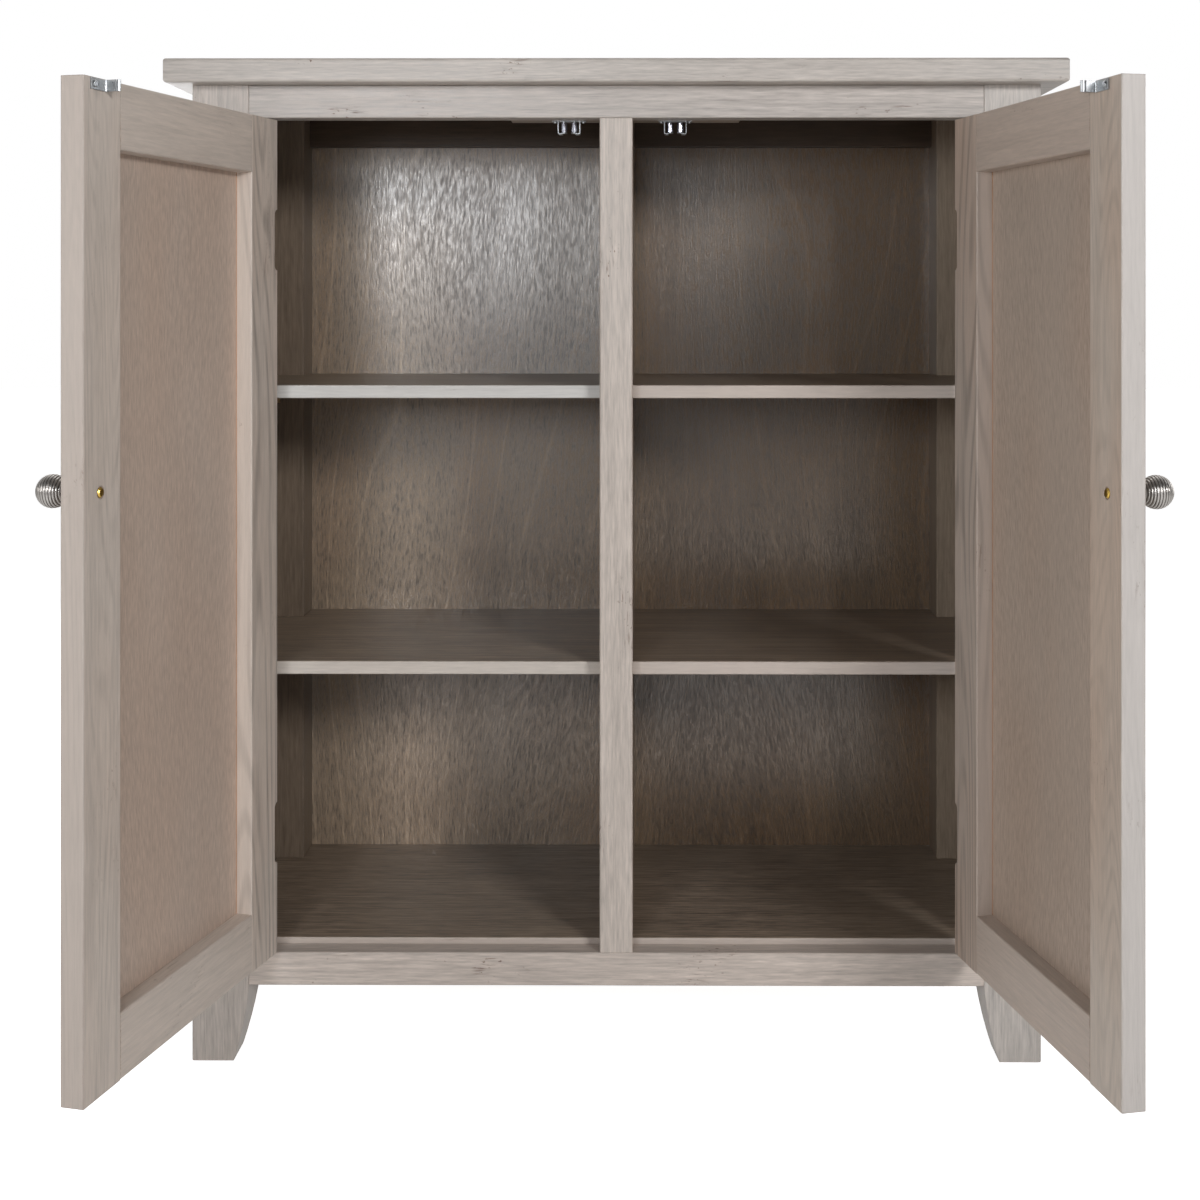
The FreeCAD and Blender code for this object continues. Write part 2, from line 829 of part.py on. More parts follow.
def rounded_channel(half_width, drop, radius):
    """The front view of a channel open at its top, with rounded lower corners."""
    corner = radius * (1 - math.sqrt(0.5))
    x, low = half_width, -drop
    return outline([
        Vector(-x, 0, 0), Vector(-x, 0, low + radius),
        (Vector(-x + corner, 0, low + corner), Vector(-x + radius, 0, low)),
        Vector(x - radius, 0, low),
        (Vector(x - corner, 0, low + corner), Vector(x, 0, low + radius)),
        Vector(x, 0, 0)]).extrude(back * catch_depth)


def catch_screws():
    """The two screws that go up through the flanges."""
    offset = (catch_width + catch_flange_width) / 4
    places = [Vector(hand * offset, catch_depth / 2, -sheet_thickness) for hand in both_sides]
    return [pan_screw(place, up, catch_screw_radius, catch_screw_length, catch_screw_head_radius,
                      catch_screw_head_height) for place in places]


def catch_housing():
    shell = rounded_channel(catch_width / 2, catch_drop, catch_bend_radius)
    room = rounded_channel(catch_width / 2 - sheet_thickness, catch_drop - sheet_thickness,
                           catch_bend_radius - sheet_thickness)
    head = block(-catch_flange_width / 2, catch_flange_width / 2, 0, catch_depth, -sheet_thickness, 0)
    mouth = block(-catch_mouth / 2, catch_mouth / 2, 0, catch_depth, -catch_drop, -catch_drop / 2)
    return shell.cut([room, mouth]).fuse(head).removeSplitter().cut(catch_screws())


def roller_middle(hand):
    return Vector(hand * (roller_gap / 2 + roller_radius), catch_play + sheet_thickness + roller_radius, 0)


def arm_levels():
    """Heights of the lower ear's two faces and the upper ear's two faces."""
    low = -catch_drop + sheet_thickness + arm_floor_gap
    high = -sheet_thickness - catch_play
    return low, low + sheet_thickness, high - sheet_thickness, high


def catch_arm(hand):
    """A sprung carrier: two ears round the roller's pin, joined by a strap behind the roller."""
    middle = roller_middle(hand)
    low, low_top, high_under, high = arm_levels()
    ear_radius = roller_radius - arm_mouth_gap
    strap_y = middle.y + roller_radius + catch_play
    ears = []
    for level in (low, high_under):
        round_end = turned(Vector(middle.x, middle.y, level), up,
                           ((0, ear_radius), (sheet_thickness, ear_radius)), head_side_count)
        neck = block(middle.x - ear_radius, middle.x + ear_radius, middle.y, strap_y,
                     level, level + sheet_thickness)
        ears.append(round_end.fuse(neck))
    strap = block(middle.x - ear_radius, middle.x + ear_radius, strap_y,
                  strap_y + sheet_thickness, low, high)
    pin = turned(Vector(middle.x, middle.y, low_top), up,
                 ((0, roller_pin_radius), (high_under - low_top, roller_pin_radius)), screw_side_count)
    return strap.fuse(ears + [pin]).removeSplitter()


def catch_roller(hand):
    middle = roller_middle(hand)
    low, low_top, high_under, high = arm_levels()
    bottom = low_top + catch_play
    length = high_under - low_top - 2 * catch_play
    wheel = turned(Vector(middle.x, middle.y, bottom), up,
                   ((0, roller_radius), (length, roller_radius)), roller_side_count)
    bore = rod(roller_pin_radius + roller_play, Vector(middle.x, middle.y, bottom), up, length)
    return wheel.cut(bore)


def make_catches():
    screws = []
    for side in both_sides:
        hand = side_name(side)
        save(f"{hand}_catch_housing", catch_place(catch_housing(), side))
        for arm_side in both_sides:
            arm = side_name(arm_side)
            save(f"{hand}_catch_{arm}_arm", catch_place(catch_arm(arm_side), side))
            save(f"{hand}_catch_{arm}_roller", catch_place(catch_roller(arm_side), side))
        screws += [catch_place(item, side) for item in catch_screws()]
    save("catch_screws", group(screws))


os.makedirs("parts", exist_ok=True)
make_posts()
make_front_rails()
make_centre_stile()
make_back_rails()
make_side_frames()
make_top_board()
make_floor_board()
make_shelves()
make_partition()
make_cleats()
make_blocks()
save("back_panel", back_panel())
make_frame_hinges()
make_doors()
make_catches()
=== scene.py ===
"""Looks of the painted hallway cabinet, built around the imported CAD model."""
import math

import bpy
from mathutils import Matrix, Vector


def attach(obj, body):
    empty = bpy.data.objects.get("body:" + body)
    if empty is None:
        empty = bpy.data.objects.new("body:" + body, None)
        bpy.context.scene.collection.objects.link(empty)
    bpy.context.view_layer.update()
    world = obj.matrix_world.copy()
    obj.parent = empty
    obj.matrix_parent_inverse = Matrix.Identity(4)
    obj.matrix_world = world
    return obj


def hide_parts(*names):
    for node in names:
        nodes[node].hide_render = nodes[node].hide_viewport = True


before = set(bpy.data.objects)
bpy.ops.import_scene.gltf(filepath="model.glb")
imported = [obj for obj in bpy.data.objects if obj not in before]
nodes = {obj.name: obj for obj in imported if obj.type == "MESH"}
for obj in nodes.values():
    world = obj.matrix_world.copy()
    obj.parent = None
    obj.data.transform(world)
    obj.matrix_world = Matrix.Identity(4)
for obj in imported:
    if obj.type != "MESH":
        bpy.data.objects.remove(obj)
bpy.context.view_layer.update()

# Angles of the open doors in degrees, and places in metres
door_turn = {"left": -103.8, "right": 101.8}
door_side = {"left": -1, "right": 1}
pin_x, pin_y = 0.363, -0.006
door_face = 0.006
panel_edge = 0.0535
knob_x, knob_z = 0.320, 0.6035
knob_ball, knob_neck, knob_projection, knob_rings = 0.01392, 0.005, 0.03646, 15
knob_step = (math.pi - math.asin(knob_neck / knob_ball)) / knob_rings
knob_tip = door_face - knob_projection
knob_sides = 64


# Colours
def tone(red, green, blue):
    """A colour given as it looks on screen, from 0 to 255, as the shader takes it."""
    linear = []
    for value in (red, green, blue):
        share = value / 255
        linear.append(share / 12.92 if share <= 0.04045 else ((share + 0.055) / 1.055) ** 2.4)
    return (*linear, 1.0)


white = (1.0, 1.0, 1.0, 1.0)
greige = tone(187, 178, 170)
# The front pieces share one paint; these tones differ a little from piece to piece, partly as the
# wood's own variation and partly as painted light and shade on each
left_post_tone = tone(181, 171, 163)
right_post_tone = tone(186, 178, 171)
stile_tone = tone(195, 183, 173)
top_tone = tone(182, 173, 166)
low_tone = tone(197, 184, 174)
# Front edges of the upper and lower left shelves: lighter than the shelf tops, as painted light
shelf_front_light_tones = {"upper_left": tone(206, 202, 197), "lower_left": tone(202, 192, 182)}
# The doors share one paint: the right door's tones are darker and its lock stile lighter, and the
# edge and reveal faces turned to the front differ again; all of these are painted light and shade
edge_shading_tones = {"left": tone(181, 168, 158), "right": tone(196, 188, 182)}
door_tones = {"left": tone(202, 189, 178), "right": tone(192, 177, 165)}
lock_tones = {"left": tone(202, 189, 178), "right": tone(200, 186, 173)}
reveal_shading_tones = {"left": tone(209, 195, 183), "right": tone(193, 177, 165)}
panel_tones = {"left": tone(193, 174, 160), "right": tone(178, 161, 147)}
# Inside boards: darker than the outer paint, partly as painted shade; the right-hand shelves
# darker still, as painted shade of the right compartment
board_tone = tone(140, 124, 108)
shaded_board_tones = {"left": tone(149, 133, 117), "right": tone(138, 121, 105)}
# Rear posts: darkened on all their faces as painted shade
rear_shade_tone = tone(122, 107, 92)
rear_right_shade_tone = tone(154, 137, 119)
# Back top rail: very dark, as painted shade under the front top rail
back_rail_shade_tone = tone(80, 65, 52)
back_tone = tone(153, 135, 116)
# Back panel colour towards +X: darker, as painted shade of the right-hand compartments
back_right_shade_tone = tone(117, 97, 77)
raw_tone = tone(204, 170, 122)

# Tints multiply the colour below them; the other three are mixed into it
blush_tint = tone(255, 238, 226)
rubbed_tint = tone(146, 118, 100)
bare_tint = tone(186, 154, 134)
unstained_tint = tone(255, 200, 150)
unstained_tone = tone(214, 160, 110)
# Lighter line mixed in along the arrises: a painted highlight
arris_highlight_tone = tone(226, 214, 204)
# Painted shade for the knob's ring grooves
groove_shade_tone = tone(62, 54, 49)

# A pattern's seed times these is its shift along the three axes
seed_steps = (1.0, 1.7, 2.3)


class Tree:
    """A node tree, with short calls for the nodes used here."""

    def __init__(self, tree):
        self.tree = tree

    def node(self, kind, inputs=None, **settings):
        made = self.tree.nodes.new("ShaderNode" + kind)
        for key, value in settings.items():
            setattr(made, key, value)
        for key, value in (inputs or {}).items():
            self.put(made.inputs[key], value)
        return made

    def put(self, socket, value):
        """Link a socket to another node's, or set it to a constant."""
        if isinstance(value, bpy.types.NodeSocket):
            self.tree.links.new(value, socket)
        else:
            socket.default_value = value

    def math(self, operation, *values):
        made = self.node("Math", operation=operation)
        for socket, value in zip(made.inputs, values):
            self.put(socket, value)
        return made.outputs[0]

    def span(self, value, low, high, to_low=0.0, to_high=1.0):
        """A value between low and high, carried over to another range and held at its ends."""
        made = self.node("MapRange", {"Value": value, "From Min": low, "From Max": high,
                                      "To Min": to_low, "To Max": to_high})
        return made.outputs[0]


class Shader(Tree):
    """A material round one Principled shader, whose patterns lie in the object's own frame."""

    def __init__(self, name):
        self.material = bpy.data.materials.new(name)
        self.material.use_nodes = True
        super().__init__(self.material.node_tree)
        self.surface = self.tree.nodes["Principled BSDF"]

    def finish(self, name, value):
        self.put(self.surface.inputs[name], value)

    def sway(self, total, value, amount):
        """Add a noise value's swing about its middle to a total."""
        centred = self.math("SUBTRACT", value, 0.5)
        return self.math("MULTIPLY_ADD", centred, amount, total)

    def mix(self, share, first, second, blend="MIX"):
        made = self.node("Mix", data_type="RGBA", blend_type=blend)
        self.put(made.inputs["Factor"], share)
        self.put(made.inputs[6], first)
        self.put(made.inputs[7], second)
        return made.outputs[2]

    def tinted(self, colour, tint):
        return self.mix(1.0, colour, tint, "MULTIPLY")

    def shaded(self, colour, value):
        """A colour made darker or lighter by a value about 1."""
        shade = self.node("CombineColor", {"Red": value, "Green": value, "Blue": value})
        return self.tinted(colour, shade.outputs[0])

    def spot(self, turn=0.0):
        """Object coordinates turned to the piece's own directions."""
        coordinates = self.node("TexCoord").outputs["Object"]
        made = self.node("Mapping", {"Vector": coordinates,
                                     "Rotation": (0, 0, math.radians(-turn))})
        return made.outputs[0]

    def place(self, scale, seed=0.0, turn=0.0, drift=None):
        """A piece's own coordinates, pushed sideways by drift, shifted and scaled."""
        where = self.spot(turn)
        if drift is not None:
            aside = self.node("CombineXYZ", {"X": drift}).outputs[0]
            where = self.node("VectorMath", {0: where, 1: aside}).outputs[0]
        made = self.node("Mapping", {"Vector": where, "Scale": scale,
                                     "Location": tuple(seed * step for step in seed_steps)})
        return made.outputs[0]

    def noise(self, where, scale, detail=3.0, rough=0.5):
        made = self.node("TexNoise", {"Vector": where, "Scale": scale, "Detail": detail,
                                      "Roughness": rough})
        return made.outputs[0]

    def ahead(self, turn=0.0):
        """How far a face is turned to the front of the piece's own directions."""
        facing = self.node("TexCoord").outputs["Normal"]
        made = self.node("Mapping", {"Vector": facing, "Rotation": (0, 0, math.radians(-turn))})
        away = self.node("SeparateXYZ", {"Vector": made.outputs[0]}).outputs["Y"]
        return self.span(away, -0.3, -0.9)

    def blushed(self, base, share, along, seed, turn):
        """A colour with a share of reddish patches in it."""
        where = self.place(stretch(along, 0.3), seed + 8.8, turn)
        patches = self.span(self.noise(where, scale=7.0, detail=2.0, rough=0.6), 0.4, 0.62)
        red = self.tinted(base, blush_tint)
        return self.mix(self.math("MULTIPLY", patches, share), base, red)

    def bump(self, height, distance, normal=None):
        made = self.node("Bump", {"Height": height, "Distance": distance, "Strength": 1.0})
        if normal is not None:
            self.put(made.inputs["Normal"], normal)
        return made.outputs[0]

    def arris(self, radius):
        """A rounded normal near edges, and a value that rises from 0 to 1 towards the edge."""
        rounded = self.node("Bevel", {"Radius": radius}, samples=6).outputs[0]
        flat = self.node("NewGeometry").outputs["True Normal"]
        likeness = self.node("VectorMath", {0: rounded, 1: flat}, operation="DOT_PRODUCT")
        return rounded, self.span(likeness.outputs["Value"], 0.99, 0.8)


def stretch(along, share):
    """Scales that draw a pattern out along one axis."""
    return tuple(share if axis == along else 1.0 for axis in "XYZ")


# Painted wood
def paint(name, along, base, seed=0.0, turn=0.0, figure=0.3, streak=1.0, marks=0.7, wear_and_highlight=0.4,
          rough=0.38, shine=0.5, blush=0.0, front=None, calm=0.0, outside=None, pitch=330.0):
    """Thin greige paint brushed over wood, whose grain shows through it.

    blush is the share of reddish patches; front is the colour of faces turned to the front
    where it differs from the rest, painted light and shade on those faces, and calm how much
    less grain those show; outside is the colour of a door's outer face. A lower pitch sets
    the lines of the figure further apart. Along the arrises a lighter line is painted in
    places as a highlight, and elsewhere the paint is rubbed through to bare wood.
    """
    arris_radius, relief = 0.0013, 0.00012
    shader = Shader(name)

    def grain(share, scale, shift=0.0, detail=3.0, rough=0.6):
        where = shader.place(stretch(along, share), seed + shift, turn)
        return shader.noise(where, scale, detail, rough)

    # Grain, brush strokes and clouds, as one value about 1
    fibres = grain(share=0.08, scale=520.0, detail=4.0)
    brush = grain(share=0.03, scale=250.0, shift=3.1)
    bands = grain(share=0.04, scale=70.0, shift=1.3)
    clouds = grain(share=0.3, scale=14.0, shift=2.2)
    rings = grain(share=0.1, scale=9.0, shift=4.4, detail=2.0, rough=0.45)
    lines = shader.span(shader.math("SINE", shader.math("MULTIPLY", rings, pitch)), 0.0, 1.0)
    faint = shader.span(bands, 0.36, 0.56)
    value = shader.sway(1.0, fibres, 0.62 * streak)
    value = shader.sway(value, brush, 0.34 * streak)
    value = shader.sway(value, bands, 0.2 * streak)
    value = shader.sway(value, clouds, 0.2)
    value = shader.math("MULTIPLY_ADD", shader.math("MULTIPLY", lines, faint), -0.16 * figure,
                        value)
    if blush:
        base = shader.blushed(base, blush, along, seed, turn)
    if outside is not None:
        base = shader.mix(shader.ahead(turn), base, outside)
    # Faces turned to the front take their own colour here: painted light and shade
    if front is not None:
        ahead = shader.ahead()
        base = shader.mix(ahead, base, front)
        grainy = shader.math("MULTIPLY_ADD", ahead, -calm, 1.0)
        value = shader.math("MULTIPLY_ADD", shader.math("SUBTRACT", value, 1.0), grainy, 1.0)
    colour = shader.shaded(base, value)

    # Scratches and pits, in some places only
    places = grain(share=0.5, scale=17.0, shift=5.0, detail=2.0)
    scratches = grain(share=0.09, scale=430.0, shift=7.7)
    pits = grain(share=0.5, scale=330.0, shift=9.1, detail=2.0)
    scratched = shader.math("MULTIPLY", shader.span(scratches, 0.57, 0.68),
                            shader.span(places, 0.6, 0.68))
    pitted = shader.math("MULTIPLY", shader.span(pits, 0.64, 0.72),
                         shader.span(places, 0.58, 0.66))
    rubbed = shader.math("MAXIMUM", scratched, pitted)
    dark = shader.tinted(colour, rubbed_tint)
    colour = shader.mix(shader.math("MULTIPLY", rubbed, marks), colour, dark)

    # Arrises: a lighter line painted as a highlight in some places, paint rubbed through to the
    # bare wood in others
    rounded, edge = shader.arris(arris_radius)
    dots = grain(share=0.3, scale=210.0, shift=6.3, detail=2.0)
    worn_and_highlit = shader.math("MULTIPLY", edge, shader.span(dots, 0.42, 0.6, 0.25, 1.0))
    bare = shader.tinted(colour, bare_tint)
    painted_arris_highlight = shader.mix(0.35, colour, arris_highlight_tone)
    wear_and_highlight_colour = shader.mix(shader.span(clouds, 0.46, 0.54), painted_arris_highlight, bare)
    colour = shader.mix(shader.math("MULTIPLY", worn_and_highlit, wear_and_highlight), colour, wear_and_highlight_colour)

    shader.finish("Base Color", colour)
    shader.finish("Specular IOR Level", shine)
    shader.finish("Roughness", shader.span(fibres, 0.3, 0.7, rough - 0.1, rough + 0.1))
    height = shader.sway(fibres, brush, 0.6)
    shader.finish("Normal", shader.bump(height, relief, rounded))
    return shader.material


def plywood(name, base, seed=0.0, turn=0.0, rough=0.4, figure=0.5, relief=0.0003,
            contrast=0.6, shine=0.5, blush=0.0, far=None, outside=None, joint=None):
    """Stained plywood under satin lacquer: upright pores that follow a flowing figure.

    blush is the share of reddish patches, far the colour towards +X, darker there as
    painted shade of the right-hand compartments, and outside the colour of a door panel's
    outer face. joint is a place across the panel and the side, -1 or 1, on which it is
    hidden: the wood there shows a thin line without stain.
    """
    joint_width, joint_core = 0.0016, 0.0008
    shade_start, shade_end = -0.2, 0.12
    shader = Shader(name)

    def grain(share, scale, shift=0.0, detail=2.0, drift=None):
        where = shader.place(stretch("Z", share), seed + shift, turn, drift)
        return shader.noise(where, scale, detail, rough=0.55)

    # Bands and light seams between them, bent by a slow flow
    across = shader.node("SeparateXYZ", {"Vector": shader.spot(turn)}).outputs["X"]
    flow = grain(share=0.28, scale=3.6, detail=1.0)
    drift = shader.math("MULTIPLY", flow, 0.16)
    phase = shader.math("MULTIPLY_ADD", across, 60.0, shader.math("MULTIPLY", flow, 30.0))
    bands = shader.math("SINE", phase)
    seams = shader.span(shader.math("ABSOLUTE", bands), 0.0, 0.16, 1.0, 0.0)

    # Pores and clouds, with the figure, as one value about 1
    dashes = grain(share=0.14, scale=660.0, shift=2.1, drift=drift)
    fine = grain(share=0.03, scale=300.0, shift=5.3, detail=3.0, drift=drift)
    clouds = grain(share=0.4, scale=7.0, shift=3.7, detail=3.0)
    value = shader.sway(1.0, dashes, 3.0 * contrast)
    value = shader.sway(value, fine, 0.6 * contrast)
    value = shader.sway(value, clouds, 0.24)
    value = shader.math("MULTIPLY_ADD", bands, 0.04 * figure, value)
    value = shader.math("MULTIPLY_ADD", seams, 0.28 * figure, value)
    # Darker towards +X: painted shade of the right-hand compartments
    if far is not None:
        base = shader.mix(shader.span(across, shade_start, shade_end), base, far)
    if blush:
        base = shader.blushed(base, blush, "Z", seed, turn)
    if outside is not None:
        base = shader.mix(shader.ahead(turn), base, outside)
    colour = shader.shaded(base, value)
    if joint is not None:
        edge, side = joint
        strip = shader.span(shader.math("MULTIPLY", across, side),
                            side * edge - joint_width, side * edge - joint_core)
        unstained = shader.mix(0.5, shader.tinted(colour, unstained_tint), unstained_tone)
        colour = shader.mix(shader.math("MULTIPLY", strip, 0.8), colour, unstained)

    shader.finish("Base Color", colour)
    shader.finish("Specular IOR Level", shine)
    satin = shader.span(dashes, 0.35, 0.65, rough + 0.1, rough - 0.06)
    satin = shader.math("MULTIPLY_ADD", bands, -0.02 * figure, satin)
    shader.finish("Roughness", satin)
    height = shader.sway(dashes, fine, 0.5)
    height = shader.math("MULTIPLY_ADD", seams, 0.15 * figure, height)
    shader.finish("Normal", shader.bump(height, relief))
    return shader.material


def metal(name, base, roughness, turn=0.0, ring=None):
    """Plated metal with faint smears.

    ring is the place of a knob's tip along the turned Y axis, its ball's radius and the
    angle from one ring to the next: the grooves between the rings are darkened with painted
    shade, more strongly towards the neck.
    """
    edge_radius, turning_relief = 0.0003, 0.00001
    shader = Shader(name)
    smears = shader.noise(shader.place((1.0, 1.0, 1.0)), scale=160.0, rough=0.6)
    colour = shader.shaded(base, shader.span(smears, 0.3, 0.7, 0.9, 1.05))
    rounded = shader.node("Bevel", {"Radius": edge_radius}, samples=4).outputs[0]
    if ring is not None:
        tip, ball, step = ring
        along = shader.node("SeparateXYZ", {"Vector": shader.spot(turn)}).outputs["Y"]
        cosine = shader.math("MULTIPLY_ADD", shader.math("SUBTRACT", along, tip), -1 / ball, 1.0)
        angle = shader.math("ARCCOSINE", cosine)
        phase = shader.math("FRACT", shader.math("DIVIDE", angle, step))
        # Painted shade in the ring grooves, stronger towards the neck
        groove_shade = shader.span(shader.math("ABSOLUTE", shader.math("SUBTRACT", phase, 0.5)),
                             0.26, 0.44)
        groove_shade = shader.math("MULTIPLY", groove_shade, shader.span(angle, 0.3, 1.5, 0.1, 0.95))
        colour = shader.mix(groove_shade, colour, groove_shade_tone)
        turning = shader.noise(shader.place((0.0, 1.0, 0.0), turn=turn), scale=5200.0,
                               detail=2.0, rough=0.6)
        rounded = shader.bump(turning, turning_relief, rounded)
    shader.finish("Metallic", 1.0)
    shader.finish("Base Color", colour)
    shader.finish("Roughness", shader.span(smears, 0.2, 0.8, roughness * 0.8, roughness * 1.3))
    shader.finish("Normal", rounded)
    return shader.material


def raw_wood(name, along, seed):
    """Unfinished softwood."""
    return paint(name, along, raw_tone, seed, figure=1.0, marks=0.0, rough=0.6)


# Dressing the CAD nodes
def dress(node, material):
    """Give a CAD node its material."""
    for slot in nodes[node].material_slots:
        slot.material = material


def dress_carcass():
    # Each node's grain direction, colour and share of figure
    plan = {
        "top_board": ("X", greige, 0.4), "front_top_rail": ("X", top_tone, 0.4),
        "front_bottom_rail": ("X", low_tone, 0.4), "centre_stile": ("Z", stile_tone, 0.3),
        "front_left_post": ("Z", left_post_tone, 0.3),
        "front_right_post": ("Z", right_post_tone, 0.3),
        # Rear posts and back top rail take tones darkened as painted shade
        "rear_left_post": ("Z", rear_shade_tone, 0.3), "rear_right_post": ("Z", rear_right_shade_tone, 0.3),
        "back_top_rail": ("X", back_rail_shade_tone, 0.0), "left_side_rails": ("Y", greige, 0.3),
        "right_side_rails": ("Y", greige, 0.3), "floor_board": ("X", board_tone, 0.4),
        "partition": ("Z", board_tone, 0.3), "catch_block": ("X", board_tone, 0.3),
    }
    # Right-hand shelves darker than the left: painted shade
    for hand, base in shaded_board_tones.items():
        for level in ("upper", "lower"):
            plan[f"{level}_{hand}_shelf"] = ("X", base, 0.4)
    inner = ("rear_left_post", "rear_right_post", "back_top_rail", "partition", "catch_block")
    for index, (node, (along, base, figure)) in enumerate(plan.items()):
        board = "shelf" in node or node == "floor_board"
        inside = board or node in inner
        # Board front edges take a lighter colour of their own: painted light
        front = shelf_front_light_tones.get(node.replace("_shelf", ""), low_tone) if board else None
        dress(node, paint(node, along, base, seed=index * 0.83, figure=figure,
                          streak=3.6 if board else 1.4, marks=0.2 if inside else 1.0,
                          shine=0.3 if inside else 0.5, front=front, calm=0.85))
    raw_plan = {"shelf_cleats": ("Y", 0.0), "floor_cleats": ("Y", 0.9),
                "corner_blocks": ("X", 0.0), "back_bottom_rail": ("X", 1.1)}
    for node, (along, seed) in raw_plan.items():
        dress(node, raw_wood(node, along, seed))
    # The back panel darkens to the right as painted shade
    dress("back_panel", plywood("back_panel", back_tone, seed=2.0, rough=0.27, figure=1.0,
                                relief=0.00012, contrast=0.68, shine=0.9, blush=0.3,
                                far=back_right_shade_tone))
    for index, node in enumerate(("left_side_panel", "right_side_panel")):
        dress(node, plywood(node, greige, seed=4.0 + index, figure=0.2, relief=0.0001,
                            contrast=0.25))


def dress_doors():
    for hand, turn in door_turn.items():
        side = door_side[hand]
        seed = 5.0 if hand == "left" else 9.0
        red = 0.3 if hand == "left" else 0.6
        # Each part's grain direction, colour, figure, blush, front colour and pitch; the front
        # colour is painted light and shade on faces turned to the front
        parts = {
            "hinge_stile": ("Z", door_tones[hand], 2.1, red, reveal_shading_tones[hand], 150.0),
            "lock_stile": ("Z", lock_tones[hand], 0.8, red, edge_shading_tones[hand], 330.0),
            "rails": ("X", door_tones[hand], 0.2, red * 0.3, None, 330.0),
        }
        for index, (part, (along, base, figure, blush, front, pitch)) in enumerate(parts.items()):
            name = f"{hand}_door_{part}"
            dress(name, paint(name, along, base, seed + index, turn, figure, streak=0.8,
                              marks=0.4, wear_and_highlight=0.9, rough=0.5, blush=blush, front=front,
                              calm=0.5, outside=greige, pitch=pitch))
        name = hand + "_door_panel"
        dress(name, plywood(name, panel_tones[hand], seed + 3, turn, rough=0.5, figure=0.06,
                            relief=0.00008, contrast=0.22, blush=0.25, outside=greige,
                            joint=(turned_pin(hand).x - side * panel_edge, side)))


def dress_metal():
    nickel = metal("hinge_nickel", tone(196, 193, 188), 0.3)
    zinc = metal("bright_zinc", tone(158, 159, 160), 0.3)
    steel = metal("polished_steel", tone(168, 168, 176), 0.2)
    yellow = metal("yellow_zinc", tone(214, 178, 92), 0.28)
    plated = metal("plated_steel", tone(186, 188, 190), 0.26)
    for hand in door_turn:
        dress(hand + "_knob_screw", yellow)
        dress(hand + "_strike", zinc)
        dress(hand + "_strike_screw", plated)
        dress(hand + "_hinge_door_leaves", nickel)
        dress(hand + "_hinge_door_screws", plated)
        dress(hand + "_catch_housing", zinc)
        for arm in ("left", "right"):
            dress(f"{hand}_catch_{arm}_arm", zinc)
            dress(f"{hand}_catch_{arm}_roller", steel)
    for node in ("hinge_frame_leaves", "hinge_pins"):
        dress(node, nickel)
    for node in ("fixing_screws", "hinge_frame_screws", "catch_screws"):
        dress(node, plated)


# Turned knobs
def lathe(name, profile, sides):
    """A closed turned mesh round the local Y axis from (distance, radius) stations."""
    verts = [(0.0, profile[0][0], 0.0)]
    for distance, radius in profile[1:-1]:
        for side in range(sides):
            angle = 2 * math.pi * side / sides
            verts.append((radius * math.cos(angle), distance, radius * math.sin(angle)))
    verts.append((0.0, profile[-1][0], 0.0))
    rows = len(profile) - 2
    last = len(verts) - 1
    faces = []
    for side in range(sides):
        after = (side + 1) % sides
        faces.append((0, 1 + side, 1 + after))
        for row in range(rows - 1):
            low = 1 + row * sides
            faces.append((low + side, low + sides + side, low + sides + after, low + after))
        end = 1 + (rows - 1) * sides
        faces.append((end + after, end + side, last))
    mesh = bpy.data.meshes.new(name)
    mesh.from_pydata(verts, [], faces)
    mesh.validate()
    for polygon in mesh.polygons:
        polygon.use_smooth = True
    piece = bpy.data.objects.new(name, mesh)
    bpy.context.scene.collection.objects.link(piece)
    return piece


def door_matrix(hand, x, y, z):
    """A place given in a shut door's own frame, turned with the open door."""
    side = door_side[hand]
    pin = Matrix.Translation((side * pin_x, pin_y, 0))
    turn = Matrix.Rotation(math.radians(door_turn[hand]), 4, "Z")
    return pin @ turn @ Matrix.Translation((-side * x, y, z))


def turned_pin(hand):
    """The hinge pin's place in coordinates turned to the open door's own directions."""
    back = Matrix.Rotation(math.radians(-door_turn[hand]), 3, "Z")
    return back @ Vector((door_side[hand] * pin_x, pin_y, 0))


def knob_profile():
    """A ball cut with rings that stand proudest next to the neck, then neck and foot."""
    swell, swell_start = 0.0006, 0.3
    depth, first_share, samples = 0.0009, 0.15, 8
    shoulder_run, neck_flare = 0.0008, 0.0006
    foot, foot_height, foot_round, foot_steps = 0.008, 0.003, 0.001, 4
    stations = [(0.0, 0.0)]
    for ring in range(knob_rings):
        share = min(1.0, first_share + ring / knob_rings)
        bulge = swell * max(0.0, ring / knob_rings - swell_start)
        for sample in range(1, samples + 1):
            phase = sample / samples
            rise = math.sin(math.pi * phase) ** 0.5 if sample < samples else 0.0
            reach = knob_ball + bulge - depth * share * (1.0 - rise)
            angle = (ring + phase) * knob_step
            stations.append((knob_ball - reach * math.cos(angle), reach * math.sin(angle)))
    shoulder = knob_projection - foot_height
    stations.append((stations[-1][0] + shoulder_run, knob_neck))
    stations.append((shoulder - neck_flare, knob_neck))
    stations.append((shoulder, knob_neck + neck_flare))
    for corner in range(foot_steps + 1):
        angle = math.pi / 2 * corner / foot_steps
        stations.append((shoulder + foot_round * (1 - math.cos(angle)),
                         foot - foot_round + foot_round * math.sin(angle)))
    stations.append((knob_projection, foot))
    stations.append((knob_projection, 0.0))
    return stations


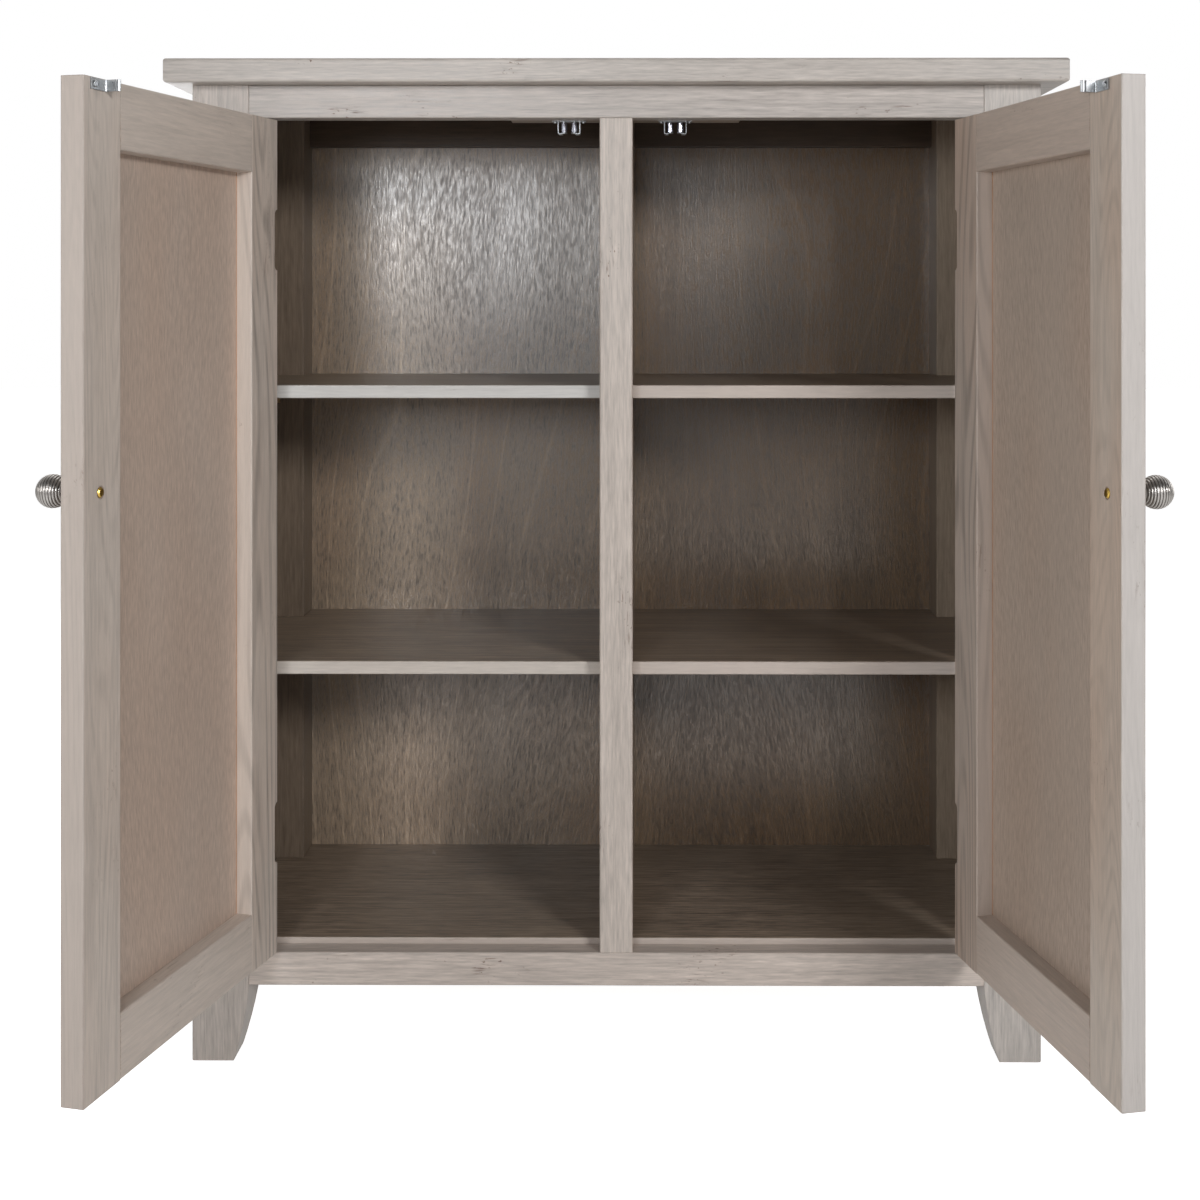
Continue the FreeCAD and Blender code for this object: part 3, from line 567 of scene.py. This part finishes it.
def make_knobs():
    """Each door's finely ringed knob, in place of its plainer CAD node."""
    for hand, turn in door_turn.items():
        piece = lathe(hand + "_turned_knob", knob_profile(), knob_sides)
        piece.data.transform(door_matrix(hand, knob_x, knob_tip, knob_z))
        ring = (turned_pin(hand).y + knob_tip, knob_ball, knob_step)
        piece.data.materials.append(metal(hand + "_knob_nickel", tone(186, 181, 176), 0.34,
                                          turn, ring))
        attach(piece, hand + "_door")
        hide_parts(hand + "_knob")


# Studio
def area_light(name, place, target, width, height, power, colour):
    """A rectangular softbox that faces its target."""
    data = bpy.data.lights.new(name, "AREA")
    data.shape = "RECTANGLE"
    data.size = width
    data.size_y = height
    data.energy = power
    data.color = colour
    lamp = bpy.data.objects.new(name, data)
    lamp.location = place
    lamp.rotation_euler = (Vector(target) - Vector(place)).to_track_quat("-Z", "Y").to_euler()
    bpy.context.scene.collection.objects.link(lamp)


def studio():
    """A white backdrop that metal mirrors too, a dark room in front, and eight softboxes."""
    world = bpy.data.worlds.new("studio")
    bpy.context.scene.world = world
    world.use_nodes = True
    room = Tree(world.node_tree)
    rays = room.node("LightPath").outputs
    direction = room.node("TexCoord").outputs["Generated"]
    away = room.node("SeparateXYZ", {"Vector": direction}).outputs["Y"]
    mirrored = room.math("MULTIPLY", rays["Is Glossy Ray"], room.span(away, -0.2, 0.8))
    straight = room.math("MAXIMUM", rays["Is Camera Ray"], rays["Is Transmission Ray"])
    seen = room.math("MAXIMUM", straight, mirrored)
    dim = room.tree.nodes["Background"]
    dim.inputs["Color"].default_value = white
    dim.inputs["Strength"].default_value = 0.02
    bright = room.node("Background", {"Color": white, "Strength": 1.0})
    chosen = room.node("MixShader", {0: seen, 1: dim.outputs[0], 2: bright.outputs[0]})
    room.put(room.tree.nodes["World Output"].inputs["Surface"], chosen.outputs[0])

    # Name, place, width, height, watts and colour of each softbox
    middle = (0.0, 0.1, 0.5)
    softboxes = (
        ("key", (1.68, -2.885, 1.64), 0.66, 0.54, 49.0, (0.98, 0.99, 1.0)),
        ("fill", (-0.47, -1.9, 1.2), 0.42, 0.3, 3.6, (0.86, 0.93, 1.0)),
        ("low_fill", (-0.57, -1.9, 0.96), 0.3, 0.3, 5.0, (0.95, 0.97, 1.0)),
        ("middle", (-0.2, -1.93, 0.95), 0.42, 0.28, 3.0, (0.93, 0.97, 1.0)),
        ("left", (-2.2, -1.35, 1.0), 0.9, 0.9, 13.5, (1.0, 1.0, 1.0)),
        ("back", (-0.8, 2.6, 1.0), 1.4, 1.2, 22.0, (1.0, 1.0, 1.0)),
        ("right", (2.4, 1.0, 1.0), 1.2, 1.2, 12.0, (1.0, 1.0, 1.0)),
        ("above", (0.0, 1.0, 2.8), 1.4, 1.0, 12.0, (1.0, 1.0, 1.0)),
    )
    for name, place, width, height, power, colour in softboxes:
        area_light(name, place, middle, width, height, power, colour)


def pale_floor():
    """A wide pale floor that glows white where it is seen, a little less near the cabinet."""
    reach, grey = 14.0, 0.92
    near, far, near_glow = 0.6, 2.0, 0.88
    mirrored_share = 0.4
    mesh = bpy.data.meshes.new("floor")
    corners = [(-reach, -reach, 0), (reach, -reach, 0), (reach, reach, 0), (-reach, reach, 0)]
    mesh.from_pydata(corners, [], [(0, 1, 2, 3)])
    floor = bpy.data.objects.new("floor", mesh)
    bpy.context.scene.collection.objects.link(floor)
    shader = Shader("pale_floor")
    shader.finish("Base Color", (grey, grey, grey, 1.0))
    shader.finish("Roughness", 0.9)
    shader.finish("Specular IOR Level", 0.0)
    rays = shader.node("LightPath").outputs
    mirrored = shader.math("MULTIPLY", rays["Is Glossy Ray"], mirrored_share)
    straight = shader.math("MAXIMUM", rays["Is Camera Ray"], rays["Is Transmission Ray"])
    seen = shader.math("MAXIMUM", straight, mirrored)
    spot = shader.node("TexCoord").outputs["Object"]
    distance = shader.node("VectorMath", {0: spot}, operation="LENGTH").outputs["Value"]
    glow = shader.span(distance, near, far, near_glow, 1.0)
    shader.finish("Emission Strength", shader.math("MULTIPLY", seen, glow))
    shader.finish("Emission Color", white)
    mesh.materials.append(shader.material)


def camera():
    """The camera fitted to the photo."""
    data = bpy.data.cameras.new("camera")
    data.sensor_width = 36.0
    data.lens = 51.408
    data.shift_x = -0.02875
    data.shift_y = -0.2445
    lens = bpy.data.objects.new("camera", data)
    lens.location = (0.0277, -1.7117, 0.7537)
    lens.rotation_euler = (math.radians(90.026), 0.0, math.radians(0.311))
    bpy.context.scene.collection.objects.link(lens)
    bpy.context.scene.camera = lens


bpy.context.scene.view_settings.view_transform = "Standard"
dress_carcass()
dress_doors()
dress_metal()
make_knobs()
studio()
pale_floor()
camera()
